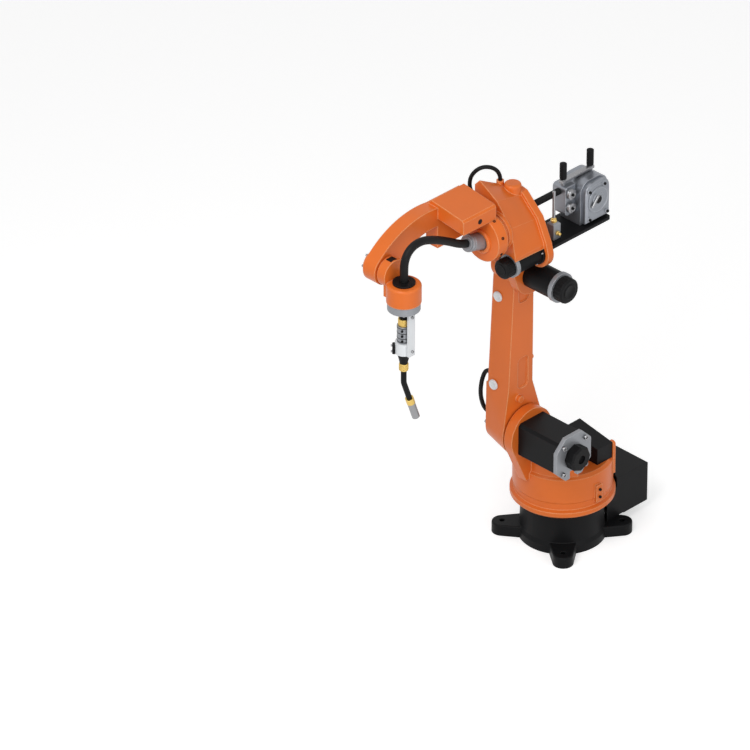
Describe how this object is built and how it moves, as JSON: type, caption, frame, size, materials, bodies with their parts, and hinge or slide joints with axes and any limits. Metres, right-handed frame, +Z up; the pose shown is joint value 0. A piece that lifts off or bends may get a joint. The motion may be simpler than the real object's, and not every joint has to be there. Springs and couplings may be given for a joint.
{
  "type": "industrial robot arm",
  "caption": "Floor-mounted jointed welding robot arm with a wire feeder on its elbow and a torch at its wrist.",
  "frame": {"origin": "on the turning axis of the base, at floor level, at the centre of the four foot bolts", "axes": "+Z up along the turning axis, +X the way the arm points, +Y the arm's left side"},
  "size_m": [1.058, 0.4, 1.3902],
  "materials": {
    "orange_paint": "satin casting paint",
    "black_paint": "satin black casting paint",
    "black_plastic": "moulded black plastic",
    "grey_metal": "bead-blasted grey",
    "silver_cast": "die-cast silver",
    "white_plastic": "white plug",
    "brass": "turned brass",
    "steel": "turned steel",
    "rubber": "cable sheath"
  },
  "bodies": {
    "base": {"base_casting": "black_paint", "base_connector_box": "black_paint", "base_sockets": "grey_metal"},
    "turret": {"turret_casting": "orange_paint", "turning_motor_cover": "black_plastic", "shoulder_motor_body": "black_paint", "shoulder_motor_end_plate": "grey_metal", "shoulder_motor_cap": "black_plastic"},
    "lower_arm": {"lower_arm_casting": "orange_paint", "lower_arm_plugs": "white_plastic", "shoulder_hub_cover": "orange_paint", "arm_cable_glands": "black_plastic", "arm_cable": "rubber"},
    "elbow": {"elbow_housing": "orange_paint", "elbow_motor_body": "black_paint", "elbow_motor_cap": "black_plastic", "roll_motor_body": "black_paint", "roll_motor_cap": "black_plastic", "motor_bands": "grey_metal", "feeder_plate": "black_paint", "feeder_housing": "silver_cast", "feeder_cover": "silver_cast", "feeder_drive_block": "silver_cast", "feeder_tension_posts": "grey_metal", "feeder_grips": "black_plastic", "feeder_valve": "grey_metal", "feeder_gas_tube": "steel", "feeder_hose": "rubber", "elbow_loop_cable": "rubber"},
    "forearm": {"forearm_casting": "orange_paint", "forearm_gland": "grey_metal", "torch_cable": "rubber", "horn_end_cover": "orange_paint"},
    "wrist": {"wrist_casting": "orange_paint", "wrist_grommet": "black_plastic"},
    "tool": {"tool_flange": "grey_metal", "torch_spacer": "white_plastic", "torch_nut": "black_plastic", "torch_collars": "brass", "torch_body": "grey_metal", "torch_clamp": "white_plastic", "torch_cone": "black_plastic", "torch_neck": "black_paint", "torch_nozzle": "steel", "torch_bracket": "white_plastic"}
  },
  "joints": [
    {"name": "turn", "type": "hinge", "parent": "base", "child": "turret", "pos_m": [0, 0, 0.148], "axis": [0, 0, 1], "range_deg": [-165, 165]},
    {"name": "shoulder", "type": "hinge", "parent": "turret", "child": "lower_arm", "pos_m": [0.15, 0, 0.43], "axis": [0, 1, 0], "range_deg": [-60, 65]},
    {"name": "elbow", "type": "hinge", "parent": "lower_arm", "child": "elbow", "pos_m": [0.15, 0, 1.01], "axis": [0, -1, 0], "range_deg": [-50, 85]},
    {"name": "roll", "type": "hinge", "parent": "elbow", "child": "forearm", "pos_m": [0.3, 0, 1.228], "axis": [1, 0, 0], "range_deg": [-150, 150]},
    {"name": "tilt", "type": "hinge", "parent": "forearm", "child": "wrist", "pos_m": [0.706, 0, 1.228], "axis": [0, 1, 0], "range_deg": [-205, 25], "deforming": ["torch_cable"]},
    {"name": "tool_turn", "type": "hinge", "parent": "wrist", "child": "tool", "pos_m": [0.706, 0, 1.15], "axis": [0, 0, 1], "range_deg": [-180, 180]}
  ]
}
